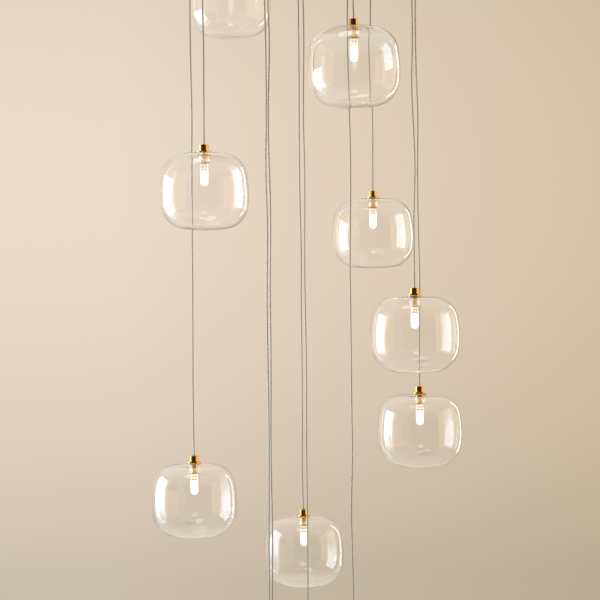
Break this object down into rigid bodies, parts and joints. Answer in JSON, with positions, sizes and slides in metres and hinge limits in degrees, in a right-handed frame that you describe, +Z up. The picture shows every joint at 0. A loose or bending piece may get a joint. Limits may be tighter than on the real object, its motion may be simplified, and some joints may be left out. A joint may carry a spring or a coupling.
{
  "type": "cluster pendant",
  "caption": "Cluster pendant: clear blown-glass shades on separate cords at stepped heights below a round ceiling canopy, each with a brass cap and a capsule lamp.",
  "frame": {"origin": "centre of the canopy's ceiling face, where the light is fixed", "axes": "+Z up into the ceiling, -Y towards the side that the picture shows, +X to the right of that side"},
  "size_m": [0.5484, 0.5454, 1.7326],
  "materials": {
    "canopy_brass": "spun brass, fine satin",
    "turned_brass": "turned brass, polished and lacquered",
    "screw_brass": "turned brass",
    "plate_steel": "zinc-plated sheet",
    "screw_steel": "zinc-plated",
    "driver_case": "moulded, fine texture",
    "terminal_nylon": "natural nylon",
    "puck_plastic": "moulded black",
    "cord_sheath": "clear sheath over a tinned braid",
    "lead_sheath": "smooth sheath",
    "clear_glass": "clear, hand-blown",
    "lamp_glass": "clear capsule, lit"
  },
  "bodies": {
    "canopy": {"canopy_cover": "canopy_brass", "ceiling_plate": "plate_steel", "side_screws": "screw_brass", "cord_grips": "turned_brass", "grip_nuts": "turned_brass", "led_driver": "driver_case", "driver_screws": "screw_steel", "mains_terminal": "terminal_nylon", "distribution_puck": "puck_plastic", "inner_leads": "cord_sheath", "feed_leads": "lead_sheath"},
    "cord_01": {"cord_01": "cord_sheath"},
    "pendant_01": {"fitting_01": "turned_brass", "shade_01": "clear_glass", "lamp_01": "lamp_glass"},
    "cord_02": {"cord_02": "cord_sheath"},
    "pendant_02": {"fitting_02": "turned_brass", "shade_02": "clear_glass", "lamp_02": "lamp_glass"},
    "cord_03": {"cord_03": "cord_sheath"},
    "pendant_03": {"fitting_03": "turned_brass", "shade_03": "clear_glass", "lamp_03": "lamp_glass"},
    "cord_04": {"cord_04": "cord_sheath"},
    "pendant_04": {"fitting_04": "turned_brass", "shade_04": "clear_glass", "lamp_04": "lamp_glass"},
    "cord_05": {"cord_05": "cord_sheath"},
    "pendant_05": {"fitting_05": "turned_brass", "shade_05": "clear_glass", "lamp_05": "lamp_glass"},
    "cord_06": {"cord_06": "cord_sheath"},
    "pendant_06": {"fitting_06": "turned_brass", "shade_06": "clear_glass", "lamp_06": "lamp_glass"},
    "cord_07": {"cord_07": "cord_sheath"},
    "pendant_07": {"fitting_07": "turned_brass", "shade_07": "clear_glass", "lamp_07": "lamp_glass"},
    "cord_08": {"cord_08": "cord_sheath"},
    "pendant_08": {"fitting_08": "turned_brass", "shade_08": "clear_glass", "lamp_08": "lamp_glass"},
    "cord_09": {"cord_09": "cord_sheath"},
    "pendant_09": {"fitting_09": "turned_brass", "shade_09": "clear_glass", "lamp_09": "lamp_glass"},
    "cord_10": {"cord_10": "cord_sheath"},
    "pendant_10": {"fitting_10": "turned_brass", "shade_10": "clear_glass", "lamp_10": "lamp_glass"},
    "cord_11": {"cord_11": "cord_sheath"},
    "pendant_11": {"fitting_11": "turned_brass", "shade_11": "clear_glass", "lamp_11": "lamp_glass"},
    "cord_12": {"cord_12": "cord_sheath"},
    "pendant_12": {"fitting_12": "turned_brass", "shade_12": "clear_glass", "lamp_12": "lamp_glass"}
  },
  "joints": [
    {"name": "swing_01", "type": "hinge", "parent": "canopy", "child": "cord_01", "pos_m": [-0.13681, 0.1493, -0.0626], "axis": [0.7373, 0.6756, 0], "range_deg": [-3, 5]},
    {"name": "rock_01", "type": "hinge", "parent": "cord_01", "child": "pendant_01", "pos_m": [-0.13681, 0.1493, -0.1924], "axis": [-0.6756, 0.7373, 0], "range_deg": [-8, 8]},
    {"name": "swing_02", "type": "hinge", "parent": "canopy", "child": "cord_02", "pos_m": [0.07749, -0.18709, -0.0626], "axis": [-0.9239, -0.3827, 0], "range_deg": [-3, 5]},
    {"name": "rock_02", "type": "hinge", "parent": "cord_02", "child": "pendant_02", "pos_m": [0.07749, -0.18709, -0.3654], "axis": [0.3827, -0.9239, 0], "range_deg": [-8, 8]},
    {"name": "swing_03", "type": "hinge", "parent": "canopy", "child": "cord_03", "pos_m": [-0.17079, -0.1088, -0.0626], "axis": [-0.5373, 0.8434, 0], "range_deg": [-2, 5]},
    {"name": "rock_03", "type": "hinge", "parent": "cord_03", "child": "pendant_03", "pos_m": [-0.17079, -0.1088, -0.5584], "axis": [-0.8434, -0.5373, 0], "range_deg": [-8, 8]},
    {"name": "swing_04", "type": "hinge", "parent": "canopy", "child": "cord_04", "pos_m": [0.12327, 0.16065, -0.0626], "axis": [0.7934, -0.6088, 0], "range_deg": [-3, 5]},
    {"name": "rock_04", "type": "hinge", "parent": "cord_04", "child": "pendant_04", "pos_m": [0.12327, 0.16065, -0.6184], "axis": [0.6088, 0.7934, 0], "range_deg": [-8, 8]},
    {"name": "swing_05", "type": "hinge", "parent": "canopy", "child": "cord_05", "pos_m": [0.17962, -0.0935, -0.0626], "axis": [-0.4617, -0.887, 0], "range_deg": [-1.5, 5]},
    {"name": "rock_05", "type": "hinge", "parent": "cord_05", "child": "pendant_05", "pos_m": [0.17962, -0.0935, -0.7994], "axis": [0.887, -0.4617, 0], "range_deg": [-8, 8]},
    {"name": "swing_06", "type": "hinge", "parent": "canopy", "child": "cord_06", "pos_m": [0.1977, 0.04383, -0.0626], "axis": [0.2164, -0.9763, 0], "range_deg": [-2, 5]},
    {"name": "rock_06", "type": "hinge", "parent": "cord_06", "child": "pendant_06", "pos_m": [0.1977, 0.04383, -0.9724], "axis": [0.9763, 0.2164, 0], "range_deg": [-8, 8]},
    {"name": "swing_07", "type": "hinge", "parent": "canopy", "child": "cord_07", "pos_m": [-0.20077, 0.02643, -0.0626], "axis": [0.1305, 0.9914, 0], "range_deg": [-2, 5]},
    {"name": "rock_07", "type": "hinge", "parent": "cord_07", "child": "pendant_07", "pos_m": [-0.20077, 0.02643, -1.0904], "axis": [-0.9914, 0.1305, 0], "range_deg": [-8, 8]},
    {"name": "swing_08", "type": "hinge", "parent": "canopy", "child": "cord_08", "pos_m": [-0.00883, 0.20231, -0.0626], "axis": [0.999, 0.0436, 0], "range_deg": [-1, 5]},
    {"name": "rock_08", "type": "hinge", "parent": "cord_08", "child": "pendant_08", "pos_m": [-0.00883, 0.20231, -1.2104], "axis": [-0.0436, 0.999, 0], "range_deg": [-8, 8]},
    {"name": "swing_09", "type": "hinge", "parent": "canopy", "child": "cord_09", "pos_m": [-0.06089, -0.19313, -0.0626], "axis": [-0.9537, 0.3007, 0], "range_deg": [-1, 5]},
    {"name": "rock_09", "type": "hinge", "parent": "cord_09", "child": "pendant_09", "pos_m": [-0.06089, -0.19313, -1.3174], "axis": [-0.3007, -0.9537, 0], "range_deg": [-8, 8]},
    {"name": "swing_10", "type": "hinge", "parent": "canopy", "child": "cord_10", "pos_m": [0.07318, -0.03809, -0.0626], "axis": [0.887, -0.4617, 0], "range_deg": [-1.5, 2.5]},
    {"name": "rock_10", "type": "hinge", "parent": "cord_10", "child": "pendant_10", "pos_m": [0.07318, -0.03809, -1.3624], "axis": [0.4617, 0.887, 0], "range_deg": [-8, 8]},
    {"name": "swing_11", "type": "hinge", "parent": "canopy", "child": "cord_11", "pos_m": [-0.06958, -0.04433, -0.0626], "axis": [-0.8434, -0.5373, 0], "range_deg": [-1.5, 2.5]},
    {"name": "rock_11", "type": "hinge", "parent": "cord_11", "child": "pendant_11", "pos_m": [-0.06958, -0.04433, -1.4774], "axis": [0.5373, -0.8434, 0], "range_deg": [-8, 8]},
    {"name": "swing_12", "type": "hinge", "parent": "canopy", "child": "cord_12", "pos_m": [-0.0036, 0.08242, -0.0626], "axis": [-0.0436, 0.999, 0], "range_deg": [-2, 3]},
    {"name": "rock_12", "type": "hinge", "parent": "cord_12", "child": "pendant_12", "pos_m": [-0.0036, 0.08242, -1.5924], "axis": [-0.999, -0.0436, 0], "range_deg": [-8, 8]}
  ]
}
